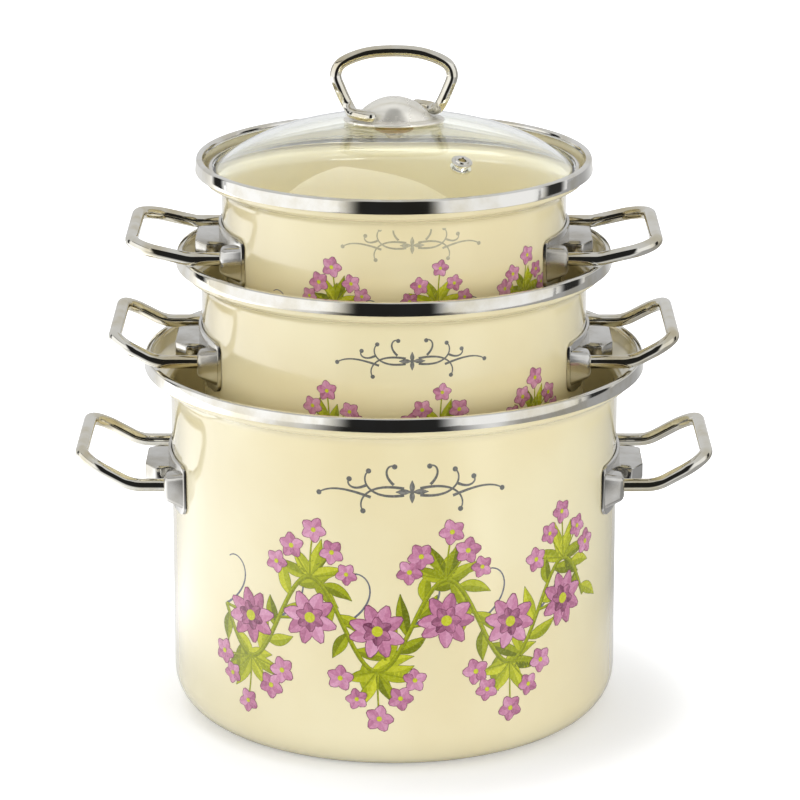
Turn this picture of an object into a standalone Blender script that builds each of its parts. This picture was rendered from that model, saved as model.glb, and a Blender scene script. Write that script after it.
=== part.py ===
# A stack of three enamelled steel pots, each hung by its side handles on the rim of the next larger one,
# with a tempered glass lid on the smallest.
# Metres, +Z up. The origin is the centre of the large pot's base, on the surface that it stands on.
# Side handles point along +X and -X.
import math

import bmesh
import bpy
from mathutils import Matrix, Vector

MM = 0.001

# How finely round things are divided
TURN_STEPS = 36
SMALL_TURN_STEPS = 16
SMALL_SIDES = 12
MERGE = 0.01 * MM

# Fits
GAP = 0.3 * MM  # air between pieces that sit against each other
OVERRUN = 5.0 * MM  # how far a cutter runs past what it cuts

# Pressed steel shells, each outside the next
WALL = 1.2 * MM  # steel with both coats of enamel
LARGE_RADIUS = 101.9 * MM  # outside of the body wall
LARGE_FLARE = 11.8 * MM  # from that wall out to the outside of the rim band
LARGE_HEIGHT = 168.3 * MM
MEDIUM_STEP = 26.5 * MM  # from the rim below in to the next body wall
MEDIUM_FLARE = 11.4 * MM
MEDIUM_HEIGHT = 135.0 * MM
SMALL_STEP = 21.0 * MM
SMALL_FLARE = 11.8 * MM
SMALL_HEIGHT = 115.0 * MM
LARGE_RIM = LARGE_RADIUS + LARGE_FLARE
MEDIUM_RADIUS = LARGE_RIM - MEDIUM_STEP
MEDIUM_RIM = MEDIUM_RADIUS + MEDIUM_FLARE
SMALL_RADIUS = MEDIUM_RIM - SMALL_STEP
SMALL_RIM = SMALL_RADIUS + SMALL_FLARE
BASE_CORNER = 20.0 * MM  # radius between wall and base
FOOT_WIDTH = 18.0 * MM  # width of the ring that the pot stands on
BASE_RECESS = 1.2 * MM  # the pressed panel inside that ring
RECESS_SLOPE = 3.0 * MM
LEDGE_INSET = 3.4 * MM  # where the lip meets the lid's ledge, in from the band
LEDGE_DROP = 9.3 * MM  # and down from the rim
LEDGE_FALL = 3.5 * MM  # how far the ledge falls towards the wall
LIP_BEND = 3.0 * MM
COLLAR_BEND = 5.0 * MM

# Stainless band crimped over each lip
BAND_HEIGHT = 6.0 * MM
BAND_SHEET = 0.4 * MM
BAND_LEAN = 0.6 * MM
BAND_INNER_LEG = 2.4 * MM
BAND_ROUND = 1.0 * MM

# Side handles: a bent wire in a pressed bracket
WIRE_RADIUS = 3.0 * MM
WIRE_SPACING = 70.0 * MM  # between the two arms, centre to centre
LARGE_REACH = 39.5 * MM  # from the body wall out to the grip's centre line
MEDIUM_OVERHANG = 11.4 * MM  # from the rim below out to that line
SMALL_OVERHANG = 18.5 * MM
LARGE_DROP = 54.4 * MM  # from the rim's top down to the wire's level
MEDIUM_DROP = 44.1 * MM
SMALL_DROP = 39.4 * MM
LARGE_RISE = 12.7 * MM  # from the wire's level up to the grip
MEDIUM_RISE = 10.0 * MM
SMALL_RISE = 6.0 * MM
LARGE_KINK = 16.5 * MM  # from the body wall out to the upward bend
MEDIUM_KINK_INSET = 7.4 * MM  # from the rim below in to that bend
SMALL_KINK_INSET = 7.6 * MM
KINK_BEND = 15.0 * MM
GRIP_BEND = 14.0 * MM

SOCKET_DEPTH = 8.0 * MM  # from the wall, at the wire, out to the socket's face
SOCKET_HALF_WIDTH = 6.4 * MM
SOCKET_TOP = 7.5 * MM  # above the wire's centre
SOCKET_BOTTOM = 11.0 * MM
SOCKET_CORNER = 4.0 * MM
SOCKET_FACE_SHARE = 0.66  # size of the socket's face against its foot
SOCKET_FACE_RAISE = 1.7 * MM
SOCKET_ROUND = 1.2 * MM
WIRE_INSERT = 6.0 * MM
PLATE_SHEET = 1.2 * MM
PLATE_HALF_WIDTH = 41.5 * MM
PLATE_TOP = 10.0 * MM
PLATE_BOTTOM = 14.5 * MM
PLATE_CORNER = 4.0 * MM
PLATE_WAIST = 3.5 * MM  # how far the lower edge rises between the sockets
TAB_DEPTH = 11.5 * MM
TAB_HALF_WIDTH = 16.0 * MM
TAB_TOP = 3.3 * MM
TAB_BOTTOM = 4.3 * MM
TAB_CORNER = 1.5 * MM
TAB_FACE_SHARE = 0.86
TAB_ROUND = 1.2 * MM

# Glass lid
LID_INSET = 5.7 * MM  # from the small pot's rim in to the outside of the steel ring
LID_RADIUS = SMALL_RIM - LID_INSET
GLASS = 3.0 * MM
CROWN_RISE = 20.3 * MM  # middle of the glass above its edge
CROWN_POWER = 2.9  # over 2, so that the middle is flatter than a sphere
GLASS_MARGIN = 1.7 * MM  # flat edge that the ring grips
RING_SHEET = 0.4 * MM
RING_LIP = 2.0 * MM
RING_ROUND = 0.8 * MM
KNOB_HOLE = 4.0 * MM
VENT_X = 29.6 * MM
VENT_Y = -50.0 * MM
VENT_HOLE = 3.2 * MM
VENT_BORE = 1.7 * MM
VENT_FLANGE = 4.7 * MM
VENT_COLLAR = 3.2 * MM
VENT_SHEET = 0.8 * MM
VENT_STAND = 0.9 * MM

# Lid handle: a wire loop welded on an oval domed foot
FOOT_RADIUS = 22.7 * MM  # half of the oval's length, which lies along X
FOOT_OVAL_SHARE = 0.69  # its width against its length
FOOT_SHEET = 1.2 * MM
FOOT_CROWN = 11.2 * MM  # top of the dome above the glass
DOME_RADIUS = 20.4 * MM  # of the sphere that the dome is part of, before the oval is drawn in
FOOT_BOSS = 4.5 * MM
GASKET_SHEET = 1.0 * MM
GASKET_INNER = 2.6 * MM
GASKET_OUTER = 8.7 * MM
LOOP_WIRE = 2.65 * MM
LOOP_HEIGHT = 33.2 * MM  # from the foot's flange up to the top of the wire
LOOP_HALF_WIDTH = 26.0 * MM
LOOP_FOOT_RADIUS = 19.3 * MM  # the wire's two ends lie along an oval this long
LOOP_FOOT_DEPTH = 15.2 * MM  # and this deep, from its middle
LOOP_FOOT_SWEEP = 66.0  # degrees of that oval under each end
LOOP_FOOT_STEPS = 4
LOOP_SMOOTH_STEPS = 2
# Left half of the loop above its foot: shares of the half width, and of the height
LOOP_SHAPE_SHARES = ((0.80, 0.11), (0.93, 0.38), (1.0, 0.61), (0.88, 0.81), (0.48, 0.96), (0.0, 1.0))
SCREW_RADIUS = 1.9 * MM
SCREW_HEAD = 4.2 * MM
SCREW_HEAD_HEIGHT = 2.2 * MM
SCREW_CHAMFER = 1.1 * MM
SCREW_BITE = 4.0 * MM  # length of screw inside the boss
WASHER_RADIUS = 8.7 * MM
WASHER_SHEET = 2.2 * MM

POTS = (
    dict(name="large", radius=LARGE_RADIUS, rim=LARGE_RIM, height=LARGE_HEIGHT,
         drop=LARGE_DROP, rise=LARGE_RISE, kink=LARGE_KINK, reach=LARGE_REACH),
    dict(name="medium", radius=MEDIUM_RADIUS, rim=MEDIUM_RIM, height=MEDIUM_HEIGHT,
         drop=MEDIUM_DROP, rise=MEDIUM_RISE, kink=MEDIUM_STEP - MEDIUM_KINK_INSET,
         reach=MEDIUM_STEP + MEDIUM_OVERHANG),
    dict(name="small", radius=SMALL_RADIUS, rim=SMALL_RIM, height=SMALL_HEIGHT,
         drop=SMALL_DROP, rise=SMALL_RISE, kink=SMALL_STEP - SMALL_KINK_INSET,
         reach=SMALL_STEP + SMALL_OVERHANG),
)


def clear_scene():
    for obj in list(bpy.data.objects):
        bpy.data.objects.remove(obj, do_unlink=True)


def new_collection(name):
    group = bpy.data.collections.new(name)
    bpy.context.scene.collection.children.link(group)
    return group


def surface(name, color, roughness, metallic, transmission=0.0):
    mat = bpy.data.materials.new(name)
    mat.use_nodes = True
    shader = mat.node_tree.nodes["Principled BSDF"]
    shader.inputs["Base Color"].default_value = (*color, 1.0)
    shader.inputs["Roughness"].default_value = roughness
    shader.inputs["Metallic"].default_value = metallic
    shader.inputs["Transmission Weight"].default_value = transmission
    return mat


clear_scene()
STACK = new_collection("enamel_pot_stack")
CUTTERS = new_collection("cutters")
ENAMEL = surface("cream_enamel", (0.76, 0.71, 0.49), 0.15, 0.0)
STEEL = surface("polished_steel", (0.72, 0.71, 0.69), 0.12, 1.0)
CLEAR = surface("clear_glass", (0.88, 0.93, 0.90), 0.02, 0.0, transmission=1.0)
RUBBER = surface("amber_silicone", (0.42, 0.27, 0.03), 0.5, 0.0)


# Shapes shared by several pieces

def link(name, data, mat, parent=None, group=None):
    obj = bpy.data.objects.new(name, data)
    (group or STACK).objects.link(obj)
    if mat is not None:
        data.materials.append(mat)
    if parent is not None:
        obj.parent = parent
    return obj


def smooth(mesh):
    mesh.shade_smooth()
    mesh.set_sharp_from_angle(angle=math.radians(35))


def rounded(points, closed=False, steps=2):
    """Corner points (a, b, radius) made into a line whose corners are arcs."""
    most_share = 0.49
    line = []
    for i, (a, b, radius) in enumerate(points):
        here = Vector((a, b))
        if radius <= 0 or (not closed and i in (0, len(points) - 1)):
            line.append(tuple(here))
            continue
        before = Vector(points[i - 1][:2]) - here
        after = Vector(points[(i + 1) % len(points)][:2]) - here
        half = before.angle(after) / 2
        reach = min(radius / math.tan(half), min(before.length, after.length) * most_share)
        distance = reach / math.cos(half)
        middle = here + (before.normalized() + after.normalized()).normalized() * distance
        first = here + before.normalized() * reach - middle
        last = here + after.normalized() * reach - middle
        turn = math.atan2(first.x * last.y - first.y * last.x, first.dot(last))
        for k in range(steps + 1):
            line.append(tuple(middle + Matrix.Rotation(turn * k / steps, 2) @ first))
    return line


def turned(name, line, mat, closed=False, parent=None, steps=TURN_STEPS, sheet=None, group=None):
    """A line in the XZ plane swept round Z. An open line with a sheet becomes a shell of that thickness."""
    mesh = bpy.data.meshes.new(name)
    edges = [(i, i + 1) for i in range(len(line) - 1)]
    if closed:
        edges.append((len(line) - 1, 0))
    mesh.from_pydata([(r, 0, z) for r, z in line], edges, [])
    obj = link(name, mesh, mat, parent, group)
    screw = obj.modifiers.new("sweep", "SCREW")
    screw.axis = "Z"
    screw.steps = steps
    screw.render_steps = steps
    screw.use_merge_vertices = True
    screw.merge_threshold = MERGE
    screw.use_smooth_shade = True
    if sheet:
        shell = obj.modifiers.new("sheet", "SOLIDIFY")
        shell.thickness = sheet
        shell.offset = -1
        shell.use_even_offset = True
    return obj


def as_mesh(obj):
    """The evaluated shape of a helper object in world space. The helper is removed."""
    bpy.context.view_layer.update()
    graph = bpy.context.evaluated_depsgraph_get()
    mesh = bpy.data.meshes.new_from_object(obj.evaluated_get(graph))
    mesh.transform(obj.matrix_world)
    bpy.data.objects.remove(obj, do_unlink=True)
    work = bmesh.new()
    work.from_mesh(mesh)
    bmesh.ops.remove_doubles(work, verts=work.verts, dist=MERGE)
    work.to_mesh(mesh)
    work.free()
    return mesh


def slab(name, outline, x_near, x_far):
    """A (y, z) outline made solid between two places along X."""
    curve = bpy.data.curves.new(name, "CURVE")
    curve.dimensions = "2D"
    curve.fill_mode = "BOTH"
    curve.extrude = (x_far - x_near) / 2
    spline = curve.splines.new("POLY")
    spline.points.add(len(outline) - 1)
    for point, (y, z) in zip(spline.points, outline):
        point.co = (y, z, 0, 1)
    spline.use_cyclic_u = True
    obj = link(name, curve, None, group=CUTTERS)
    obj.matrix_world = Matrix(((0, 0, 1, (x_near + x_far) / 2), (1, 0, 0, 0), (0, 1, 0, 0), (0, 0, 0, 1)))
    return as_mesh(obj)


def lump(name, outline, x_near, x_far, face_share, face_raise, edge_round):
    """A slab whose far face is drawn in to a share of the near one and has a rounded edge."""
    mesh = slab(name, outline, x_near, x_far)
    work = bmesh.new()
    work.from_mesh(mesh)
    far = {v for v in work.verts if v.co.x > (x_near + x_far) / 2}
    middle = sum((v.co for v in far), Vector()) / len(far)
    for v in far:
        v.co.y = middle.y + (v.co.y - middle.y) * face_share
        v.co.z = middle.z + (v.co.z - middle.z) * face_share + face_raise
    border = [e for e in work.edges if far.issuperset(e.verts)
              and any(not far.issuperset(f.verts) for f in e.link_faces)]
    bmesh.ops.bevel(work, geom=border, offset=edge_round, segments=1, profile=0.5, affect="EDGES")
    bmesh.ops.recalc_face_normals(work, faces=work.faces)
    work.to_mesh(mesh)
    work.free()
    return link(name, mesh, None, group=CUTTERS)


def rod(name, radius, start, end):
    """A round rod between two points, as a cutter."""
    start, end = Vector(start), Vector(end)
    mesh = bpy.data.meshes.new(name)
    work = bmesh.new()
    bmesh.ops.create_cone(work, cap_ends=True, segments=SMALL_SIDES, radius1=radius, radius2=radius,
                          depth=(end - start).length)
    work.to_mesh(mesh)
    work.free()
    mesh.transform(Matrix.Translation((start + end) / 2)
                   @ (end - start).to_track_quat("Z", "Y").to_matrix().to_4x4())
    return link(name, mesh, None, group=CUTTERS)


def combine(body, others, operation):
    for other in others:
        other.hide_render = True
        other.display_type = "WIRE"
        step = body.modifiers.new(f"{operation.lower()}_{other.name}", "BOOLEAN")
        step.operation = operation
        step.object = other
        step.solver = "EXACT"


def bake(body, others):
    """Applies a helper's modifiers, and removes the helpers that it used."""
    mesh = as_mesh(body)
    for other in others:
        bpy.data.objects.remove(other, do_unlink=True)
    return mesh


def wire(name, points, radius, mat, parent, place=None):
    curve = bpy.data.curves.new(name, "CURVE")
    curve.dimensions = "3D"
    curve.bevel_depth = radius
    curve.bevel_resolution = 2
    curve.use_fill_caps = True
    spline = curve.splines.new("POLY")
    spline.points.add(len(points) - 1)
    for point, spot in zip(spline.points, points):
        point.co = (*spot, 1)
    spline.use_smooth = True
    obj = link(name, curve, mat, parent)
    if place is not None:
        obj.matrix_local = place
    return obj


# Pots

def lip_top(pot):
    """The upper end of the shell, on its outside, under the band."""
    return pot["rim"] - BAND_LEAN - BAND_SHEET - GAP, pot["height"] - BAND_SHEET - 2 * GAP


def ledge(pot):
    """The lid's ledge on the shell's outside: its outer and its inner end."""
    outer = (pot["rim"] - LEDGE_INSET, pot["height"] - LEDGE_DROP)
    inner = (pot["radius"], outer[1] - LEDGE_FALL)
    return outer, inner


def lip_lean(pot):
    """How far the lip leans in, as a share of how far it goes down."""
    top, foot = lip_top(pot), ledge(pot)[0]
    return (top[0] - foot[0]) / (top[1] - foot[1])


def shell(pot, parent):
    outer, inner = ledge(pot)
    foot_outside = pot["radius"] - BASE_CORNER
    foot_inside = foot_outside - FOOT_WIDTH
    wall_foot = (pot["radius"], 0)
    wall_top = (pot["radius"], pot["height"])
    line = [
        *rounded([(*lip_top(pot), 0), (*outer, LIP_BEND), (*inner, COLLAR_BEND), (*wall_foot, 0)])[:-1],
        *rounded([(*wall_top, 0), (*wall_foot, BASE_CORNER), (0, 0, 0)], steps=3)[1:-1],
        (foot_inside, 0),
        (foot_inside - RECESS_SLOPE, BASE_RECESS),
        (0, BASE_RECESS),
    ]
    return turned(f"{pot['name']}_pot_shell", line, ENAMEL, parent=parent, sheet=WALL)


def rim_band(pot, parent):
    """A U of thin steel over the lip: a tall outer leg that stands off the shell, and a short inner one."""
    top = pot["height"]
    outside = pot["rim"]
    lean = outside - BAND_LEAN
    channel = lip_top(pot)[0] - WALL - GAP
    channel_foot = channel - BAND_INNER_LEG * lip_lean(pot)
    line = rounded([
        (lean, top, BAND_ROUND),
        (outside, top - BAND_HEIGHT, 0),
        (outside - BAND_SHEET, top - BAND_HEIGHT, 0),
        (lean - BAND_SHEET, top - BAND_SHEET, 0),
        (channel, top - BAND_SHEET, 0),
        (channel_foot, top - BAND_INNER_LEG, 0),
        (channel_foot - BAND_SHEET, top - BAND_INNER_LEG, 0),
        (channel - BAND_SHEET, top, BAND_ROUND),
    ], closed=True, steps=1)
    return turned(f"{pot['name']}_pot_rim_band", line, STEEL, closed=True, parent=parent)


def wall_at(pot, y):
    """Distance along X from the axis to the body wall, at that y."""
    return math.sqrt(pot["radius"] ** 2 - y ** 2)


def handle_path(pot):
    """Centre line of the wire on the +X side, with z counted from its level ends."""
    half = WIRE_SPACING / 2
    kink = pot["radius"] + pot["kink"]
    end = pot["radius"] + pot["reach"]
    slope = pot["rise"] / (end - kink)
    side = rounded([
        (wall_at(pot, half) + SOCKET_DEPTH - WIRE_INSERT, 0, 0),
        (kink, 0, KINK_BEND),
        (end, pot["rise"], 0),
    ])[:-1]
    corner = rounded([(kink, half, 0), (end, half, GRIP_BEND), (end, 0, 0)], steps=4)[1:-1]
    line = [(x, half, z) for x, z in side] + [(x, y, (x - kink) * slope) for x, y in corner]
    return line + [(x, -y, z) for x, y, z in reversed(line)]


def plate_outline():
    """The bracket's plate seen from outside, with z from the wire's level."""
    socket_inside = WIRE_SPACING / 2 - SOCKET_HALF_WIDTH
    half = [
        (PLATE_HALF_WIDTH, PLATE_TOP, PLATE_CORNER),
        (PLATE_HALF_WIDTH, -PLATE_BOTTOM, PLATE_CORNER),
        (socket_inside, -PLATE_BOTTOM, PLATE_CORNER),
        (socket_inside - PLATE_CORNER, PLATE_WAIST - PLATE_BOTTOM, PLATE_CORNER),
    ]
    return rounded(half + [(-y, z, bend) for y, z, bend in reversed(half)], closed=True, steps=1)


def bracket_mesh(pot):
    """One pressed bracket on the +X side: a curved plate, two wire sockets and a tab between them."""
    half = WIRE_SPACING / 2
    seat = pot["radius"] + GAP
    deep = wall_at(pot, PLATE_HALF_WIDTH) - OVERRUN
    less_deep = deep + OVERRUN / 2
    face = wall_at(pot, half) + SOCKET_DEPTH
    above = PLATE_TOP + OVERRUN
    below = -PLATE_BOTTOM - OVERRUN
    plate = link("plate", slab("plate", plate_outline(), deep, seat + TAB_DEPTH), None, group=CUTTERS)
    outside = seat + PLATE_SHEET
    disc = turned("disc", [(0, above), (outside, above), (outside, below), (0, below)], None, group=CUTTERS)
    combine(plate, [disc], "INTERSECT")
    bracket = link("bracket", bake(plate, [disc]), None, group=CUTTERS)

    lumps = []
    for side in (-1, 1):
        foot = rounded([
            (side * half + SOCKET_HALF_WIDTH, SOCKET_TOP, SOCKET_CORNER),
            (side * half + SOCKET_HALF_WIDTH, -SOCKET_BOTTOM, SOCKET_CORNER),
            (side * half - SOCKET_HALF_WIDTH, -SOCKET_BOTTOM, SOCKET_CORNER),
            (side * half - SOCKET_HALF_WIDTH, SOCKET_TOP, SOCKET_CORNER),
        ], closed=True)
        lumps.append(lump("socket", foot, less_deep, face, SOCKET_FACE_SHARE, SOCKET_FACE_RAISE,
                          SOCKET_ROUND))
    tab = rounded([
        (TAB_HALF_WIDTH, TAB_TOP, TAB_CORNER),
        (TAB_HALF_WIDTH, -TAB_BOTTOM, TAB_CORNER),
        (-TAB_HALF_WIDTH, -TAB_BOTTOM, TAB_CORNER),
        (-TAB_HALF_WIDTH, TAB_TOP, TAB_CORNER),
    ], closed=True, steps=1)
    lumps.append(lump("tab", tab, less_deep, seat + TAB_DEPTH, TAB_FACE_SHARE, 0, TAB_ROUND))
    combine(bracket, lumps, "UNION")

    well = turned("well", [(0, above), (seat, above), (seat, below), (0, below)], None, group=CUTTERS)
    start, end = face - WIRE_INSERT - GAP, face + OVERRUN
    bores = [
        rod("bore", WIRE_RADIUS + GAP, (start, side * half, 0), (end, side * half, 0))
        for side in (-1, 1)
    ]
    combine(bracket, [well, *bores], "DIFFERENCE")
    return bake(bracket, [*lumps, well, *bores])


def side_handles(pot, parent):
    """Both handles: brackets and wires."""
    mesh = bracket_mesh(pot)
    smooth(mesh)
    mesh.materials.append(STEEL)
    path = handle_path(pot)
    for side, turn in (("right", 0.0), ("left", math.pi)):
        label = f"{pot['name']}_{side}"
        place = Matrix.Translation((0, 0, pot["height"] - pot["drop"])) @ Matrix.Rotation(turn, 4, "Z")
        bracket = link(f"{label}_bracket", mesh, None, parent)
        bracket.matrix_local = place
        wire(f"{label}_handle", path, WIRE_RADIUS, STEEL, parent, place)


def build_pot(pot, base_level):
    holder = link(f"{pot['name']}_pot", None, None)
    holder.location = (0, 0, base_level)
    shell(pot, holder)
    rim_band(pot, holder)
    side_handles(pot, holder)


# Lid. Heights are counted from the underside of its ring.

def glass_edge():
    return LID_RADIUS - RING_SHEET - GAP


def crown_edge():
    """Radius where the domed glass meets its flat margin."""
    return glass_edge() - GLASS_MARGIN


def glass_top(r):
    margin_top = RING_SHEET + GAP + GLASS
    return margin_top + CROWN_RISE * (1 - (r / crown_edge()) ** CROWN_POWER)


def vent_place():
    """Where the steam vent sits on the glass, and the direction square to it there."""
    r = math.hypot(VENT_X, VENT_Y)
    slope = CROWN_RISE * CROWN_POWER * (r / crown_edge()) ** (CROWN_POWER - 1) / crown_edge()
    normal = Vector((VENT_X / r * slope, VENT_Y / r * slope, 1)).normalized()
    return Vector((VENT_X, VENT_Y, glass_top(r))), normal


def lid_glass(parent):
    crown_steps = 5
    radii = [KNOB_HOLE + (crown_edge() - KNOB_HOLE) * k / crown_steps for k in range(crown_steps + 1)]
    upper = [(r, glass_top(r)) for r in radii] + [(glass_edge(), glass_top(crown_edge()))]
    lower = [(r, z - GLASS) for r, z in reversed(upper)]
    obj = turned("glass_blank", upper + lower, None, closed=True, group=CUTTERS)
    place, normal = vent_place()
    hole = rod("vent_hole", VENT_HOLE, place - normal * (GLASS + OVERRUN), place + normal * OVERRUN)
    combine(obj, [hole], "DIFFERENCE")
    mesh = bake(obj, [hole])
    smooth(mesh)
    return link("lid_glass", mesh, CLEAR, parent)


def lid_rim_band(parent):
    """A C of thin steel that grips the flat edge of the glass."""
    height = RING_SHEET * 2 + GAP * 2 + GLASS
    lip = LID_RADIUS - RING_LIP
    line = rounded([
        (LID_RADIUS, height, RING_ROUND),
        (LID_RADIUS, 0, RING_ROUND),
        (lip, 0, 0),
        (lip, RING_SHEET, 0),
        (LID_RADIUS - RING_SHEET, RING_SHEET, 0),
        (LID_RADIUS - RING_SHEET, height - RING_SHEET, 0),
        (lip, height - RING_SHEET, 0),
        (lip, height, 0),
    ], closed=True, steps=1)
    return turned("lid_rim_band", line, STEEL, closed=True, parent=parent)


def vent_eyelet(parent):
    """A rolled steel eyelet through the glass, with a flange on each side."""
    top = GAP + VENT_SHEET
    under = -GLASS - 2 * GAP
    shank = VENT_HOLE - GAP
    line = [
        (VENT_COLLAR - VENT_SHEET, top + VENT_STAND),
        (VENT_COLLAR, top + VENT_STAND - VENT_SHEET),
        (VENT_COLLAR, top),
        (VENT_FLANGE, top - VENT_SHEET / 2),
        (VENT_FLANGE, GAP),
        (shank, GAP),
        (shank, under),
        (VENT_FLANGE, under),
        (VENT_FLANGE, under - VENT_SHEET),
        (VENT_BORE, under - VENT_SHEET),
        (VENT_BORE, top + VENT_STAND),
    ]
    obj = turned("lid_vent_eyelet", line, STEEL, closed=True, parent=parent, steps=SMALL_TURN_STEPS)
    place, normal = vent_place()
    obj.matrix_local = Matrix.Translation(place) @ normal.to_track_quat("Z", "Y").to_matrix().to_4x4()
    return obj


def foot_level():
    """Underside of the domed foot, on the glass."""
    return glass_top(0) + GAP


def foot_top(r):
    """Height of the dome's upper face."""
    return glass_top(0) + FOOT_CROWN - DOME_RADIUS + math.sqrt(DOME_RADIUS ** 2 - r ** 2)


def foot_seat():
    """Radius where the dome meets the flange, before the oval is drawn in."""
    rise = glass_top(0) + FOOT_CROWN - foot_level() - FOOT_SHEET
    return math.sqrt(2 * DOME_RADIUS * rise - rise ** 2)


def lid_knob_gasket(parent):
    """An amber silicone ring between the foot's boss and the glass."""
    top = glass_top(0) + GAP + GASKET_SHEET
    line = [
        (GASKET_OUTER, top),
        (GASKET_OUTER, glass_top(GASKET_OUTER) + GAP),
        (GASKET_INNER, glass_top(GASKET_INNER) + GAP),
        (GASKET_INNER, top),
    ]
    return turned("lid_knob_gasket", line, RUBBER, closed=True, parent=parent, steps=SMALL_TURN_STEPS)


def lid_knob_base(parent):
    """The pressed dome under the lid's loop, with a threaded boss inside."""
    dome_steps = 5
    seat = foot_seat()
    radii = [seat * k / dome_steps for k in range(dome_steps + 1)]
    boss_end = glass_top(0) + GAP + GASKET_SHEET + GAP
    bore = SCREW_RADIUS + GAP
    bore_end = boss_end + SCREW_BITE + GAP
    line = [(r, foot_top(r)) for r in radii]
    line += [(FOOT_RADIUS, foot_level() + FOOT_SHEET), (FOOT_RADIUS, foot_level()), (seat, foot_level())]
    line += [(r, foot_top(r) - FOOT_SHEET) for r in reversed(radii[2:-1])]
    line += [(FOOT_BOSS, foot_top(FOOT_BOSS) - FOOT_SHEET), (FOOT_BOSS, boss_end), (bore, boss_end)]
    line += [(bore, bore_end), (0, bore_end)]
    obj = turned("foot_blank", line, None, group=CUTTERS)
    mesh = as_mesh(obj)
    outside = (seat + FOOT_RADIUS) / 2
    for vert in mesh.vertices:
        # the boss stays round, and the dome draws in from there
        share = max(0, min(1, (math.hypot(vert.co.x, vert.co.y) - FOOT_BOSS) / (outside - FOOT_BOSS)))
        vert.co.y *= 1 - share * (1 - FOOT_OVAL_SHARE)
    smooth(mesh)
    return link("lid_knob_base", mesh, STEEL, parent)


def smooth_line(knots):
    """A Catmull-Rom curve through the knots."""
    line = []
    for i in range(len(knots) - 1):
        before, here = knots[max(i - 1, 0)], knots[i]
        there, after = knots[i + 1], knots[min(i + 2, len(knots) - 1)]
        for k in range(LOOP_SMOOTH_STEPS):
            t = k / LOOP_SMOOTH_STEPS
            bend = 2 * before - 5 * here + 4 * there - after
            tail = 3 * here - before - 3 * there + after
            line.append((2 * here + (there - before) * t + bend * t ** 2 + tail * t ** 3) / 2)
    return line + [knots[-1]]


def loop_path():
    """The lid handle's wire: one foot along the front, up, over, and down to the other foot behind."""
    stand = 2 * GAP  # the smoothed line dips a little before it rises
    level = foot_level() + FOOT_SHEET + stand + LOOP_WIRE
    rise = LOOP_HEIGHT - stand - 2 * LOOP_WIRE
    sweep = math.radians(LOOP_FOOT_SWEEP)
    foot = [
        Vector((-LOOP_FOOT_RADIUS * math.cos(a), -LOOP_FOOT_DEPTH * math.sin(a), level))
        for a in (sweep * (1 - k / LOOP_FOOT_STEPS) for k in range(LOOP_FOOT_STEPS))
    ]
    arch = [Vector((-LOOP_HALF_WIDTH * out, 0, level + rise * up)) for out, up in LOOP_SHAPE_SHARES]
    half = foot + arch
    return smooth_line(half + [Vector((-p.x, -p.y, p.z)) for p in reversed(half[:-1])])


def lid_fasteners(parent):
    """The screw under the glass and its wide silicone washer."""
    washer_top = glass_top(WASHER_RADIUS) - GLASS - GAP
    washer_under = washer_top - WASHER_SHEET
    bore = SCREW_RADIUS + GAP
    turned("lid_knob_washer", [
        (WASHER_RADIUS, washer_top),
        (WASHER_RADIUS, washer_under),
        (bore, washer_under),
        (bore, washer_top),
    ], RUBBER, closed=True, parent=parent, steps=SMALL_TURN_STEPS)
    head_top = washer_under - GAP
    tip = glass_top(0) + GAP + GASKET_SHEET + GAP + SCREW_BITE
    turned("lid_knob_screw", [
        (0, tip),
        (SCREW_RADIUS, tip),
        (SCREW_RADIUS, head_top),
        (SCREW_HEAD, head_top),
        (SCREW_HEAD, head_top - SCREW_HEAD_HEIGHT + SCREW_CHAMFER),
        (SCREW_HEAD - SCREW_CHAMFER, head_top - SCREW_HEAD_HEIGHT),
        (0, head_top - SCREW_HEAD_HEIGHT),
    ], STEEL, parent=parent, steps=SMALL_TURN_STEPS)


def build_lid(pot, base_level):
    """The lid's ring stands on the sloping ledge inside the pot's collar."""
    outer, inner = ledge(pot)
    slope = math.atan2(outer[1] - inner[1], outer[0] - inner[0])
    under = outer[1] - (outer[0] - LID_RADIUS) * math.tan(slope)
    holder = link("lid", None, None)
    holder.location = (0, 0, base_level + under + (WALL + GAP) / math.cos(slope))
    lid_glass(holder)
    lid_rim_band(holder)
    vent_eyelet(holder)
    lid_knob_gasket(holder)
    lid_knob_base(holder)
    wire("lid_knob_loop", loop_path(), LOOP_WIRE, STEEL, holder)
    lid_fasteners(holder)


def build_stack():
    base = 0.0
    below = None
    for pot in POTS:
        if below is not None:
            wire_level = base + below["height"] + GAP + WIRE_RADIUS
            base = wire_level + pot["drop"] - pot["height"]
        build_pot(pot, base)
        below = pot
    build_lid(below, base)


build_stack()
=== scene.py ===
import math
import random

import bpy
from mathutils import Matrix, Vector


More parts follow.
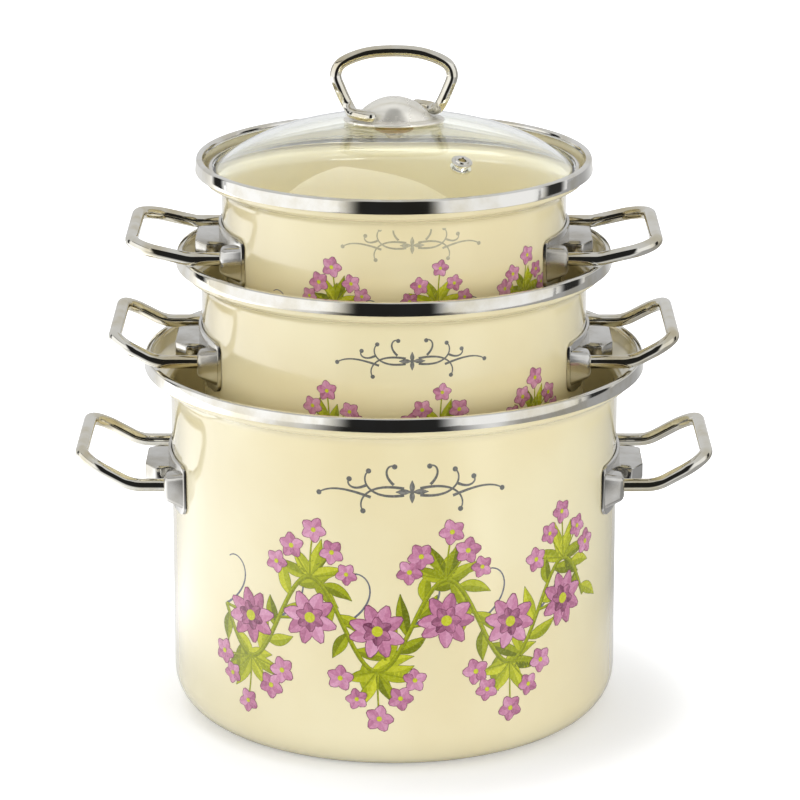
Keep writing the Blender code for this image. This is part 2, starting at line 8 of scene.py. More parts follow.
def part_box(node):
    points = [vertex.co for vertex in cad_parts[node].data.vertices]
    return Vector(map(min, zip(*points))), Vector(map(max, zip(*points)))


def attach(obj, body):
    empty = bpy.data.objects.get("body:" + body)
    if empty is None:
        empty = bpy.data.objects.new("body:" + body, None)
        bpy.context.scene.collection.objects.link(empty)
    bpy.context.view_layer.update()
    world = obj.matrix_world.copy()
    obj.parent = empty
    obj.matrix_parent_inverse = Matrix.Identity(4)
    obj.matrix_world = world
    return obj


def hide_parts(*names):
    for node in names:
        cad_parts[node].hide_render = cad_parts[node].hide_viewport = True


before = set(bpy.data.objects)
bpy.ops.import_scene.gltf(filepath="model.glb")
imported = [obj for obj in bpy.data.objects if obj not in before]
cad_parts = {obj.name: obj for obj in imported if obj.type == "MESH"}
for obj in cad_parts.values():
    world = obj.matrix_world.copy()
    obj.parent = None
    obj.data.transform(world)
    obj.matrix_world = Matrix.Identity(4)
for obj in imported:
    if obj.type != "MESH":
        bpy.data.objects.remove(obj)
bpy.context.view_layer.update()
print("frame loaded")

mm = 0.001


# Shader helpers

def plug(tree, socket, value):
    if isinstance(value, Value):
        tree.links.new(value.socket, socket)
    else:
        socket.default_value = value


class Value:
    # what a node's socket gives: + - and * add Math nodes
    def __init__(self, tree, socket):
        self.tree = tree
        self.socket = socket

    def maths(self, operation, first, second):
        return addNode(self.tree, "ShaderNodeMath", {0: first, 1: second}, operation=operation)

    def __add__(self, other):
        return self.maths("ADD", self, other)

    def __radd__(self, other):
        return self.maths("ADD", other, self)

    def __sub__(self, other):
        return self.maths("SUBTRACT", self, other)

    def __rsub__(self, other):
        return self.maths("SUBTRACT", other, self)

    def __mul__(self, other):
        return self.maths("MULTIPLY", self, other)

def addNode(tree, kind, values=None, out=0, stops=None, **settings):
    # any node by type: its settings, its ramp's stops, then what its sockets hold
    node = tree.nodes.new(kind)
    for name, value in settings.items():
        setattr(node, name, value)
    for i, (place, color) in enumerate(stops or []):
        if i < 2:
            stop = node.color_ramp.elements[i]
            stop.position = place
        else:
            stop = node.color_ramp.elements.new(place)
        stop.color = color
    for name, value in (values or {}).items():
        plug(tree, node.inputs[name], value)
    return Value(tree, node.outputs[out])


def seenRays(tree):
    # 1 for what the camera sees, straight or through glass
    straight = addNode(tree, "ShaderNodeLightPath", out="Is Camera Ray")
    return straight + addNode(tree, "ShaderNodeLightPath", out="Is Transmission Ray")


class Finish:
    # one material with its Principled shader
    def __init__(self, name, fixed):
        self.material = bpy.data.materials.new(name)
        self.material.use_nodes = True
        self.tree = self.material.node_tree
        self.shader = self.tree.nodes["Principled BSDF"]
        for socket, value in fixed.items():
            self.shader.inputs[socket].default_value = value

    def node(self, kind, values=None, out=0, stops=None, **settings):
        return addNode(self.tree, kind, values, out, stops, **settings)

    def surface(self, shader):
        plug(self.tree, self.tree.nodes["Material Output"].inputs["Surface"], shader)

    def place(self):
        return self.node("ShaderNodeTexCoord", out=3)

    def noise(self, where, scale, detail=2.0):
        return self.node("ShaderNodeTexNoise", {"Vector": where, "Scale": scale, "Detail": detail})

    def between(self, first, second, share):
        return self.node("ShaderNodeMix", {0: share, 6: first, 7: second}, out=2, data_type="RGBA")

    def limit(self, value, low, high, newLow=0.0, newHigh=1.0):
        numbers = {"Value": value, "From Min": low, "From Max": high, "To Min": newLow, "To Max": newHigh}
        return self.node("ShaderNodeMapRange", numbers, interpolation_type="SMOOTHSTEP")

    def feed(self, socket, value):
        plug(self.tree, self.shader.inputs[socket], value)

    def relief(self, height, strength, distance):
        bump = self.node("ShaderNodeBump", {"Height": height, "Strength": strength, "Distance": distance})
        self.feed("Normal", bump)


def tint(red, green, blue):
    # screen colour 0-255 as a linear colour
    def linear(level):
        share = level / 255
        return share / 12.92 if share <= 0.04045 else ((share + 0.055) / 1.055) ** 2.4
    return (linear(red), linear(green), linear(blue), 1.0)


# Materials

enamelLook = {
    "cream": tint(238, 228, 188), "thin": tint(234, 221, 177), "cloudScale": 14, "cloudShares": (0.35, 0.7),
    "speck": tint(196, 182, 128), "speckScale": 55, "speckSizes": (0.012, 0.035), "speckShare": 0.5,
    "rareScale": 31, "rareShares": (0.60, 0.66),
    "shine": 0.09, "smear": 0.05, "waveScale": 45, "rippleScale": 210, "rippleShare": 0.25,
    "strength": 0.10, "depth": 0.0006,
}


def makeEnamel():
    look = enamelLook
    finish = Finish("creamEnamel", {"Coat Weight": 1.0, "Coat Roughness": 0.03, "IOR": 1.52})
    where = finish.place()
    clouds = finish.limit(finish.noise(where, look["cloudScale"], 3), *look["cloudShares"])
    cream = finish.between(look["cream"], look["thin"], clouds)
    dots = finish.node("ShaderNodeTexVoronoi", {"Vector": where, "Scale": look["speckScale"]})
    speck = 1 - finish.limit(dots, *look["speckSizes"])
    rare = finish.limit(finish.noise(where, look["rareScale"]), *look["rareShares"])
    finish.feed("Base Color", finish.between(cream, look["speck"], speck * rare * look["speckShare"]))
    finish.feed("Roughness", clouds * look["smear"] + look["shine"])
    ripples = finish.noise(where, look["rippleScale"], 1) * look["rippleShare"]
    finish.relief(finish.noise(where, look["waveScale"], 2) + ripples, look["strength"], look["depth"])
    return finish.material


steelLooks = {
    "band": {"bright": tint(234, 233, 229), "dull": tint(214, 208, 190),
             "metal": 1.0, "shine": 0.05, "smear": 0.02, "grain": 0.012},
    # the wire's dull colour is olive: random cloudy patches, tinted as a painted reflection of the cream
    # enamel
    "wire": {"bright": tint(230, 228, 220), "dull": tint(206, 196, 168),
             "metal": 1.0, "shine": 0.05, "smear": 0.04, "grain": 0.03},
    "pressed": {"bright": tint(210, 209, 206), "dull": tint(184, 180, 170),
                "metal": 1.0, "shine": 0.07, "smear": 0.12, "grain": 0.10},
    # the dome is only part metal and near white: its real reflection is mixed with a pale painted reflection
    # that lightens it all over
    "dome": {"bright": tint(242, 240, 232), "dull": tint(228, 224, 214),
             "metal": 0.6, "shine": 0.22, "smear": 0.08, "grain": 0.02},
}
steelGrain = {
    "cloudScale": 60, "cloudShares": (0.35, 0.75), "stretch": (30, 30, 700), "lineScale": 4, "lineSmear": 0.5,
    "grainScale": 160, "lineGrain": 0.3, "depth": 0.0002,
}


def makeSteel(name):
    look, size = steelLooks[name], steelGrain
    finish = Finish(f"{name}Steel", {"Metallic": look["metal"]})
    where = finish.place()
    cloud = finish.limit(finish.noise(where, size["cloudScale"], 4), *size["cloudShares"])
    stretched = finish.node("ShaderNodeMapping", {"Vector": where, "Scale": size["stretch"]})
    lines = finish.noise(stretched, size["lineScale"], 2)
    # for the wire, the dull colour mixed in here carries a painted reflection tint
    finish.feed("Base Color", finish.between(look["bright"], look["dull"], cloud))
    smear = cloud * look["smear"] + lines * look["smear"] * size["lineSmear"]
    finish.feed("Roughness", smear + look["shine"])
    grain = finish.noise(where, size["grainScale"], 2) + lines * size["lineGrain"]
    finish.relief(grain, look["grain"], size["depth"])
    return finish.material


glassLook = {
    "body": (0.94, 0.962, 0.952, 1), "shadow": (0.97, 0.98, 0.96, 1),
    "smearScale": 35, "smearShares": (0.45, 0.8), "smear": 0.006,
}


def makeGlass():
    # clear for shadow rays, so that light reaches what the lid covers
    look = glassLook
    finish = Finish("clearGlass", {"Transmission Weight": 1.0, "IOR": 1.46, "Base Color": look["body"]})
    smear = finish.limit(finish.noise(finish.place(), look["smearScale"], 3), *look["smearShares"])
    finish.feed("Roughness", smear * look["smear"])
    body = Value(finish.tree, finish.shader.outputs["BSDF"])
    shadow = finish.node("ShaderNodeLightPath", out="Is Shadow Ray")
    clear = finish.node("ShaderNodeBsdfTransparent", {"Color": look["shadow"]})
    finish.surface(finish.node("ShaderNodeMixShader", {0: shadow, 1: body, 2: clear}))
    return finish.material


siliconeLook = {
    "dark": tint(150, 118, 34), "light": tint(176, 142, 52), "scale": 240, "shine": 0.3, "smear": 0.2,
    "strength": 0.1, "depth": 0.0001,
}


def makeSilicone():
    look = siliconeLook
    finish = Finish("amberSilicone", {"Subsurface Weight": 0.2, "Subsurface Scale": 0.001})
    cloud = finish.noise(finish.place(), look["scale"], 3)
    finish.feed("Base Color", finish.between(look["dark"], look["light"], cloud))
    finish.feed("Roughness", cloud * look["smear"] + look["shine"])
    finish.relief(cloud, look["strength"], look["depth"])
    return finish.material


inkLook = {"grainScale": 700, "mottle": 0.25, "shine": 0.22, "smear": 0.1}


def makeInk(name, dark, middle, light):
    # each printed shape has its own tone, from 0 for an outline up to 1
    finish = Finish(name, {"Coat Weight": 0.3, "Coat Roughness": 0.05})
    tone = finish.node("ShaderNodeAttribute", out=2, attribute_name="tone")
    grain = finish.noise(finish.place(), inkLook["grainScale"], 2)
    mottled = tone + (grain - 0.5) * inkLook["mottle"]
    stops = [(0.0, dark), (1.0, light), (0.5, middle)]
    ramp = finish.node("ShaderNodeValToRGB", {"Fac": mottled}, stops=stops)
    finish.feed("Base Color", ramp)
    finish.feed("Roughness", grain * inkLook["smear"] + inkLook["shine"])
    return finish.material


enamel = makeEnamel()
bandSteel = makeSteel("band")
wireSteel = makeSteel("wire")
pressedSteel = makeSteel("pressed")
domeSteel = makeSteel("dome")
glass = makeGlass()
silicone = makeSilicone()
petalInk = makeInk("petalInk", tint(118, 62, 88), tint(190, 120, 152), tint(218, 162, 190))
leafInk = makeInk("leafInk", tint(84, 94, 18), tint(158, 166, 20), tint(204, 206, 50))
curlInk = makeInk("curlInk", tint(92, 94, 106), tint(114, 116, 128), tint(146, 148, 156))
greyInk = makeInk("greyInk", tint(98, 98, 94), tint(122, 121, 116), tint(146, 144, 136))
paleInk = makeInk("paleInk", tint(170, 164, 138), tint(182, 176, 150), tint(196, 190, 162))
print("materials made")


# Modelling helpers. Lengths are in millimetres until a mesh is made.

def pickOnly(obj):
    bpy.ops.object.select_all(action="DESELECT")
    obj.select_set(True)
    bpy.context.view_layer.objects.active = obj


def arcs(points, steps, closed=False):
    # corner points (a, b, radius) as a line with round corners
    line = []
    for i, (a, b, radius) in enumerate(points):
        here = Vector((a, b))
        if radius <= 0 or (not closed and i in (0, len(points) - 1)):
            line.append((a, b))
            continue
        before = Vector(points[i - 1][:2]) - here
        after = Vector(points[(i + 1) % len(points)][:2]) - here
        half = before.angle(after) / 2
        reach = min(radius / math.tan(half), min(before.length, after.length) * 0.49)
        middle = here + (before.normalized() + after.normalized()).normalized() * reach / math.cos(half)
        first = here + before.normalized() * reach - middle
        last = here + after.normalized() * reach - middle
        turn = math.atan2(first.x * last.y - first.y * last.x, first.dot(last))
        line += [tuple(middle + Matrix.Rotation(turn * k / steps, 2) @ first) for k in range(steps + 1)]
    return line


def drawLine(name, spots):
    # a vertex drawn out along the spots by extrusion, left in edit mode
    bpy.ops.object.select_all(action="DESELECT")
    bpy.ops.mesh.primitive_plane_add(size=mm, location=Vector(spots[0]) * mm)
    obj = bpy.context.active_object
    obj.name = name
    bpy.ops.object.transform_apply(location=True)
    bpy.ops.object.mode_set(mode="EDIT")
    bpy.ops.mesh.select_mode(type="VERT")
    bpy.ops.mesh.select_all(action="SELECT")
    bpy.ops.mesh.merge(type="CENTER")
    for here, there in zip(spots, spots[1:]):
        step = (Vector(there) - Vector(here)) * mm
        bpy.ops.mesh.extrude_region_move(TRANSFORM_OT_translate={"value": step})
    return obj


def closeMesh(reach=0.002):
    # in edit mode: doubles merged and faces turned outwards, then back to object mode
    bpy.ops.mesh.select_all(action="SELECT")
    bpy.ops.mesh.remove_doubles(threshold=reach * mm)
    bpy.ops.mesh.normals_make_consistent(inside=False)
    bpy.ops.object.mode_set(mode="OBJECT")


def turn(name, line, material, closed=False, steps=160, lift=0.0, crease=40):
    # a line of (radius, height) spun round the Z axis
    spots = [(r, 0, z + lift) for r, z in line]
    if closed:
        spots.append(spots[0])
    obj = drawLine(name, spots)
    bpy.ops.mesh.select_all(action="SELECT")
    bpy.ops.mesh.spin(steps=steps, angle=math.tau, center=(0, 0, 0), axis=(0, 0, 1))
    closeMesh()
    finishPiece(obj, material, crease)
    return obj


def finishPiece(obj, material, crease=40):
    pickOnly(obj)
    obj.data.materials.clear()
    obj.data.materials.append(material)
    bpy.ops.object.shade_smooth_by_angle(angle=math.radians(crease))


def apply(obj, kind, **settings):
    pickOnly(obj)
    step = obj.modifiers.new(kind.lower(), kind)
    for name, value in settings.items():
        setattr(step, name, value)
    bpy.ops.object.modifier_apply(modifier=step.name)


def roundEdges(obj, width, segments, corner):
    # bevels the edges that are sharper than corner
    apply(obj, "BEVEL", width=width * mm, segments=segments, limit_method="ANGLE",
          angle_limit=math.radians(corner))


def cut(obj, other, operation="DIFFERENCE"):
    apply(obj, "BOOLEAN", object=other, operation=operation, solver="EXACT")
    bpy.data.objects.remove(other)


def pipe(name, spots, radius, material, thin=None, sides=7):
    # round wire along a path
    bpy.ops.object.select_all(action="DESELECT")
    bpy.ops.curve.primitive_nurbs_path_add(location=(0, 0, 0))
    obj = bpy.context.active_object
    obj.name = name
    curve = obj.data
    curve.splines.clear()
    spline = curve.splines.new("POLY")
    spline.points.add(len(spots) - 1)
    for i, (point, spot) in enumerate(zip(spline.points, spots)):
        point.co = (*(Vector(spot) * mm), 1)
        point.radius = thin[i] if thin else 1.0
    curve.bevel_depth = radius * mm
    curve.bevel_resolution = sides
    curve.use_fill_caps = True
    bpy.ops.object.convert(target="MESH")
    bpy.ops.object.mode_set(mode="EDIT")
    closeMesh()
    finishPiece(obj, material, 50)
    return obj


def settle(obj, body, slot, *nodes):
    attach(obj, body)
    if nodes:
        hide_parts(*nodes)


def settlePair(right, name, kind):
    # a pot's piece on the right, and its twin turned half round to the left
    left = right.copy()
    left.data = right.data.copy()
    left.data.transform(Matrix.Rotation(math.pi, 4, "Z"))
    bpy.context.scene.collection.objects.link(left)
    for obj, side in ((right, "Right"), (left, "Left")):
        obj.name = f"{name}{side}{kind}"
        settle(obj, f"{name}_pot", "steel", f"{name}_{side}_{kind}".lower())


# Pots

pots = {
    "large": {"radius": 101.9, "rim": 113.7, "height": 168.3,
              "drop": 54.4, "rise": 12.7, "kink": 16.5, "reach": 39.4},
    "medium": {"radius": 87.2, "rim": 98.6, "height": 135.0,
               "drop": 44.1, "rise": 10.0, "kink": 19.1, "reach": 37.8},
    "small": {"radius": 77.6, "rim": 89.4, "height": 115.0,
              "drop": 39.4, "rise": 6.0, "kink": 13.4, "reach": 39.4},
}
shellSizes = {
    "wall": 1.2, "corner": 20.0, "foot": 18.0, "footBend": 0.6, "recess": 1.2, "slope": 3.0,
    "ledgeIn": 3.4, "ledgeDrop": 9.3, "ledgeFall": 3.5, "lipBend": 3.0, "collarBend": 5.0, "steps": 168,
}
bandSizes = {
    "height": 6.0, "sheet": 0.4, "lean": 0.6, "inner": 2.4, "round": 1.0, "bend": 0.4, "edge": 0.12,
    "gap": 0.3,
}


def lipTop(pot):
    band = bandSizes
    radius = pot["rim"] - band["lean"] - band["sheet"] - band["gap"]
    return radius, pot["height"] - band["sheet"] - 2 * band["gap"]


def makeShell(name, pot, base):
    size = shellSizes
    radius = pot["radius"]
    outer = (pot["rim"] - size["ledgeIn"], pot["height"] - size["ledgeDrop"])
    inner = (radius, outer[1] - size["ledgeFall"])
    inside = radius - size["corner"] - size["foot"]
    line = arcs([
        (*lipTop(pot), 0), (*outer, size["lipBend"]), (*inner, size["collarBend"]),
        (radius, 0, size["corner"]), (inside, 0, size["footBend"]),
        (inside - size["slope"], size["recess"], size["footBend"]), (0, size["recess"], 0),
    ], steps=9)
    shell = turn(f"{name}PotShell", line, enamel, steps=size["steps"], lift=base)
    apply(shell, "SOLIDIFY", thickness=size["wall"] * mm, offset=-1, use_even_offset=True)
    finishPiece(shell, enamel, 50)
    settle(shell, f"{name}_pot", "cream_enamel", f"{name}_pot_shell")


def makeBand(name, pot, base):
    # folded over the lip; its inner leg follows the slope of the collar
    size = bandSizes
    sheet, edge, bend = size["sheet"], size["edge"], size["bend"]
    top, outside, lip = pot["height"], pot["rim"], lipTop(pot)[0]
    lean = outside - size["lean"]
    channel = lip - shellSizes["wall"] - size["gap"]
    slope = (lip - (outside - shellSizes["ledgeIn"])) / (shellSizes["ledgeDrop"] - sheet - 2 * size["gap"])
    foot = channel - size["inner"] * slope
    line = arcs([
        (lean, top, size["round"]), (outside, top - size["height"], edge),
        (outside - sheet, top - size["height"], edge), (lean - sheet, top - sheet, bend),
        (channel, top - sheet, bend), (foot, top - size["inner"], edge),
        (foot - sheet, top - size["inner"], edge), (channel - sheet, top, size["round"]),
    ], steps=5, closed=True)
    steps = shellSizes["steps"]
    band = turn(f"{name}PotRimBand", line, bandSteel, closed=True, steps=steps, lift=base, crease=60)
    settle(band, f"{name}_pot", "steel", f"{name}_pot_rim_band")


handleSizes = {
    "wire": 3.0, "span": 70.0, "kinkBend": 18.0, "gripBend": 14.5,
    "socket": 8.0, "insert": 6.0, "stop": 0.4, "bore": 0.25, "boreLength": 20.0, "skin": 0.01,
}


def wallAt(pot, y):
    return math.sqrt(pot["radius"] ** 2 - y ** 2)


def makeHandle(name, pot, level):
    size = handleSizes
    half = size["span"] / 2
    kink = pot["radius"] + pot["kink"]
    end = pot["radius"] + pot["reach"]
    slope = pot["rise"] / (end - kink)
    start = wallAt(pot, half) + size["socket"] - size["insert"] + size["stop"]
    side = arcs([(start, 0, 0), (kink, 0, size["kinkBend"]), (end, pot["rise"], 0)], steps=8)[:-1]
    corner = arcs([(kink, half, 0), (end, half, size["gripBend"]), (end, 0, 0)], steps=14)[1:-1]
    line = [(x, half, z + level) for x, z in side] + [(x, y, (x - kink) * slope + level) for x, y in corner]
    line += [(x, -y, z) for x, y, z in reversed(line)]
    settlePair(pipe("handle", line, size["wire"] - size["skin"], wireSteel), name, "Handle")


bracketSizes = {
    "sheet": 1.2, "gap": 0.3, "halfWidth": 41.5, "top": 9.9, "bottom": 13.0, "corner": 4.0,
    "waist": 3.5, "waistRun": 4.0, "waistGap": 0.5, "edge": 0.32,
    "socketHalf": 6.4, "socketTop": 6.8, "socketBottom": 11.4, "socketRound": 2.2, "socketRoot": 1.0,
    "faceWide": 0.74, "faceTall": 0.62, "faceLift": 1.8,
    "tabHalf": 12.0, "tabTop": 3.4, "tabBottom": 4.2, "tabDepth": 11.4, "tabRound": 0.8, "tabRoot": 0.7,
    "tabPoint": 6.0, "pointShare": 0.52, "pointDeep": 0.10, "pointTall": 0.84, "pointDrop": 0.5,
    "root": 5.0, "over": 20.0, "above": 20.0, "below": 25.0, "merge": 0.003,
}


def block(name, low, high):
    # a box from one corner to the other
    low, high = Vector(low) * mm, Vector(high) * mm
    bpy.ops.object.select_all(action="DESELECT")
    bpy.ops.mesh.primitive_cube_add(size=1, location=(low + high) / 2, scale=high - low)
    obj = bpy.context.active_object
    obj.name = name
    bpy.ops.object.transform_apply(location=True, scale=True)
    return obj


def drum(name, radius, level):
    # a full round block that reaches past a bracket, to cut it with
    high, low = level + bracketSizes["above"], level - bracketSizes["below"]
    return turn(name, [(0, high), (radius, high), (radius, low), (0, low)], pressedSteel, steps=256)


def pickFaces(obj, axis, sign):
    # selects the faces that look along an axis, and goes into edit mode
    bpy.ops.object.mode_set(mode="EDIT")
    bpy.ops.mesh.select_mode(type="FACE")
    bpy.ops.mesh.select_all(action="DESELECT")
    bpy.ops.object.mode_set(mode="OBJECT")
    for face in obj.data.polygons:
        face.select = face.normal[axis] * sign > 0.9
    bpy.ops.object.mode_set(mode="EDIT")


def makePlate(level, deep, seat):
    # an outline drawn out and kept where it meets a drum; the well is cut later
    size = bracketSizes
    inside = handleSizes["span"] / 2 - size["socketHalf"] - size["waistGap"]
    half, bottom, corner = size["halfWidth"], -size["bottom"], size["corner"]
    outline = [
        (half, size["top"], corner), (half, bottom, corner), (inside, bottom, corner),
        (inside - size["waistRun"], size["waist"] + bottom, corner),
    ]
    outline = arcs(outline + [(-y, z, bend) for y, z, bend in reversed(outline)], steps=5, closed=True)
    plate = drawLine("plate", [(deep, y, z + level) for y, z in outline])
    bpy.ops.mesh.select_all(action="SELECT")
    bpy.ops.mesh.edge_face_add()
    length = (seat + size["over"] - deep) * mm
    bpy.ops.mesh.extrude_region_move(TRANSFORM_OT_translate={"value": (length, 0, 0)})
    bpy.ops.mesh.select_all(action="SELECT")
    bpy.ops.mesh.normals_make_consistent(inside=False)
    bpy.ops.object.mode_set(mode="OBJECT")
    cut(plate, drum("disc", seat + size["sheet"], level), "INTERSECT")
    roundEdges(plate, size["edge"], 2, 40)
    return plate


def makeSocket(pot, level, y, face):
    # a block drawn in towards its face
    size = bracketSizes
    root = wallAt(pot, handleSizes["span"] / 2 + size["socketHalf"]) - size["socketRoot"]
    socket = block("socket", (root, y - size["socketHalf"], level - size["socketBottom"]),
                   (face, y + size["socketHalf"], level + size["socketTop"]))
    pickFaces(socket, 0, 1)
    bpy.ops.transform.resize(value=(1, size["faceWide"], size["faceTall"]))
    bpy.ops.transform.translate(value=(0, 0, size["faceLift"] * mm))
    bpy.ops.object.mode_set(mode="OBJECT")
    roundEdges(socket, size["socketRound"], 4, 30)
    return socket


def makeTab(level, deep, seat):
    # stands between the sockets, with pointed ends
    size = bracketSizes
    tab = block("tab", (deep + size["tabRoot"], -size["tabHalf"], level - size["tabBottom"]),
                (seat + size["tabDepth"], size["tabHalf"], level + size["tabTop"]))
    middle = seat + size["tabDepth"] * size["pointShare"]
    for side in (1, -1):
        pickFaces(tab, 1, side)
        length = side * size["tabPoint"] * mm
        bpy.ops.mesh.extrude_region_move(TRANSFORM_OT_translate={"value": (0, length, 0)})
        tip = Vector((middle, side * (size["tabHalf"] + size["tabPoint"]), level - size["pointDrop"]))
        bpy.ops.transform.resize(value=(size["pointDeep"], 1, size["pointTall"]), center_override=tip * mm)
        bpy.ops.object.mode_set(mode="OBJECT")
    roundEdges(tab, size["tabRound"], 4, 18)
    return tab


def makeBracket(name, pot, level):
    size, wire = bracketSizes, handleSizes
    half = wire["span"] / 2
    seat = pot["radius"] + size["gap"]
    deep = wallAt(pot, size["halfWidth"]) - size["root"]
    face = wallAt(pot, half) + wire["socket"]
    plate = makePlate(level, deep, seat)
    for side in (-1, 1):
        cut(plate, makeSocket(pot, level, side * half, face), "UNION")
    cut(plate, makeTab(level, deep, seat), "UNION")
    cut(plate, drum("well", seat, level))
    length = wire["boreLength"]
    for side in (-1, 1):
        bpy.ops.object.select_all(action="DESELECT")
        spot = Vector((face - wire["insert"] + length / 2, side * half, level)) * mm
        bpy.ops.mesh.primitive_cylinder_add(vertices=32, radius=(wire["wire"] + wire["bore"]) * mm,
                                            depth=length * mm, location=spot, rotation=(0, math.pi / 2, 0))
        cut(plate, bpy.context.active_object)
    pickOnly(plate)
    bpy.ops.object.mode_set(mode="EDIT")
    closeMesh(size["merge"])
    finishPiece(plate, pressedSteel, 32)
    settlePair(plate, name, "Bracket")


for name, pot in pots.items():
    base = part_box(f"{name}_pot_shell")[0].z / mm
    pot["base"] = base
    level = base + pot["height"] - pot["drop"]
    makeShell(name, pot, base)
    makeBand(name, pot, base)
    makeHandle(name, pot, level)
    makeBracket(name, pot, level)
    print(f"{name} pot made")


# Lid. Its ring stands at lidBase, and glassTop gives the glass at any radius.

lidSizes = {
    "radius": 83.7, "glass": 3.0, "rise": 20.3, "power": 2.9, "margin": 1.7, "rings": 60, "steps": 256,
    "sheet": 0.4, "lip": 2.0, "gap": 0.3, "round": 0.9, "bend": 0.2, "edge": 0.12,
    "knobHole": 4.0, "ventX": 29.6, "ventY": -50.0, "ventHole": 3.2, "ventDepth": 20.0,
}
# radius, height over the glass and bend of each corner, from the mouth down the outside
eyeletLine = (
    (2.3, 1.9, 0.3), (3.1, 1.9, 0.35), (3.3, 1.15, 0.3), (4.65, 0.95, 0.25), (4.65, 0.3, 0.1), (2.9, 0.3, 0),
    (2.9, -3.5, 0), (4.65, -3.5, 0.1), (4.65, -4.1, 0.2), (1.7, -4.1, 0.2), (1.7, 1.4, 0.3),
)
knobSizes = {
    "radius": 22.7, "oval": 0.69, "ridge": 0.6, "sheet": 1.2, "crown": 11.2, "dome": 20.4, "boss": 4.5,
    "rings": 22, "skin": 0.05, "inset": 1.0, "seatBend": 0.8, "topBend": 0.5, "underBend": 0.3,
    "gasket": 1.0, "gasketInner": 2.6, "gasketOuter": 8.7, "gasketBend": 0.2,
    "washer": 8.7, "washerSheet": 2.2, "washerTop": 0.3, "washerUnder": 0.5,
    "screw": 1.9, "bite": 4.0, "tipBend": 0.4, "head": 4.2, "headHeight": 2.2, "chamfer": 1.1,
    "headTop": 0.2, "headSide": 0.6, "headUnder": 0.5,
}
loopSizes = {
    "wire": 2.65, "skin": 0.01, "height": 33.15, "halfWidth": 26.0, "stand": 0.6,
    "foot": 19.3, "footDepth": 15.2, "sweep": 66.0, "footSpots": 4,
    "tipAngles": (12, 30, 50, 70), "trim": 1.05,
    "outShares": (0.80, 0.93, 1.0, 0.88, 0.48, 0.0), "upShares": (0.11, 0.38, 0.61, 0.81, 0.96, 1.0),
}
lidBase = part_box("lid_rim_band")[0].z / mm
glassEdge = lidSizes["radius"] - lidSizes["sheet"] - lidSizes["gap"]
crownEdge = glassEdge - lidSizes["margin"]


def glassTop(r):
    margin = lidSizes["sheet"] + lidSizes["gap"] + lidSizes["glass"]
    return lidBase + margin + lidSizes["rise"] * (1 - (min(r, crownEdge) / crownEdge) ** lidSizes["power"])


def ventPlace():
    r = math.hypot(lidSizes["ventX"], lidSizes["ventY"])
    slope = lidSizes["rise"] * lidSizes["power"] * (r / crownEdge) ** (lidSizes["power"] - 1) / crownEdge
    normal = Vector((lidSizes["ventX"] / r * slope, lidSizes["ventY"] / r * slope, 1)).normalized()
    spot = Vector((lidSizes["ventX"], lidSizes["ventY"], glassTop(r)))
    return Matrix.Translation(spot * mm) @ normal.to_track_quat("Z", "Y").to_matrix().to_4x4()


def makePane():
    size = lidSizes
    rings, span = size["rings"], crownEdge - size["knobHole"]
    radii = [size["knobHole"] + span * k / rings for k in range(rings + 1)] + [glassEdge]
    upper = [(r, glassTop(r)) for r in radii]
    lower = [(r, z - size["glass"]) for r, z in reversed(upper)]
    pane = turn("lidGlass", upper + lower, glass, closed=True, steps=size["steps"])
    bpy.ops.object.select_all(action="DESELECT")
    bpy.ops.mesh.primitive_cylinder_add(vertices=48, radius=size["ventHole"] * mm,
                                        depth=size["ventDepth"] * mm)
    hole = bpy.context.active_object
    hole.data.transform(ventPlace())
    cut(pane, hole)
    finishPiece(pane, glass, 40)
    settle(pane, "lid", "lid_glass", "lid_glass")


def makeLidBand():
    size = lidSizes
    height = 2 * size["sheet"] + 2 * size["gap"] + size["glass"]
    outside, lip, sheet, edge = size["radius"], size["radius"] - size["lip"], size["sheet"], size["edge"]
    line = arcs([
        (outside, height, size["round"]), (outside, 0, size["round"]), (lip, 0, edge), (lip, sheet, edge),
        (outside - sheet, sheet, size["bend"]), (outside - sheet, height - sheet, size["bend"]),
        (lip, height - sheet, edge), (lip, height, edge),
    ], steps=5, closed=True)
    band = turn("lidRimBand", line, bandSteel, closed=True, lift=lidBase, crease=60)
    settle(band, "lid", "steel", "lid_rim_band")


def makeEyelet():
    eyelet = turn("lidVentEyelet", arcs(eyeletLine, steps=4, closed=True), bandSteel, closed=True, steps=48)
    eyelet.data.transform(ventPlace())
    settle(eyelet, "lid", "steel", "lid_vent_eyelet")


def makeKnob(flange, boss, bore):
    # a pressed dome on an oval flange; its boss stays round
    size = knobSizes
    level = flange - size["sheet"]
    crown = glassTop(0) + size["crown"]
    rise = crown - flange
    seat = math.sqrt(2 * size["dome"] * rise - rise ** 2)

    def domeTop(r):
        return crown - size["dome"] + math.sqrt(size["dome"] ** 2 - r ** 2)

    radii = [seat * k / size["rings"] for k in range(size["rings"] + 1)]
    edge, last, under = size["radius"] - size["skin"], radii[-2], domeTop(size["boss"]) - size["sheet"]
    line = [(r, domeTop(r)) for r in radii[:-1]]
    line += arcs([
        (last, domeTop(last), 0), (seat, flange, size["seatBend"]), (edge, flange, size["topBend"]),
        (edge, level, size["underBend"]), (seat, level, 0),
    ], steps=4)[1:]
    inner = [r for r in reversed(radii) if size["boss"] < r < seat - size["inset"]]
    line += [(r, domeTop(r) - size["sheet"]) for r in inner]
    boreEnd = boss + size["bite"] + lidSizes["gap"]
    line += [(size["boss"], under), (size["boss"], boss), (bore, boss), (bore, boreEnd), (0, boreEnd)]
    dome = turn("lidKnobBase", line, domeSteel, steps=96)
    outside = (seat + size["radius"]) / 2
    for spot in dome.data.vertices:
        r = math.hypot(spot.co.x, spot.co.y) / mm
        inward = max(0, min(1, (r - size["boss"]) / (seat - size["boss"]))) * (1 - size["ridge"])
        outward = max(0, min(1, (r - seat) / (outside - seat))) * (size["oval"] - size["ridge"])
        spot.co.y *= 1 - inward + outward
    settle(dome, "lid", "steel", "lid_knob_base")


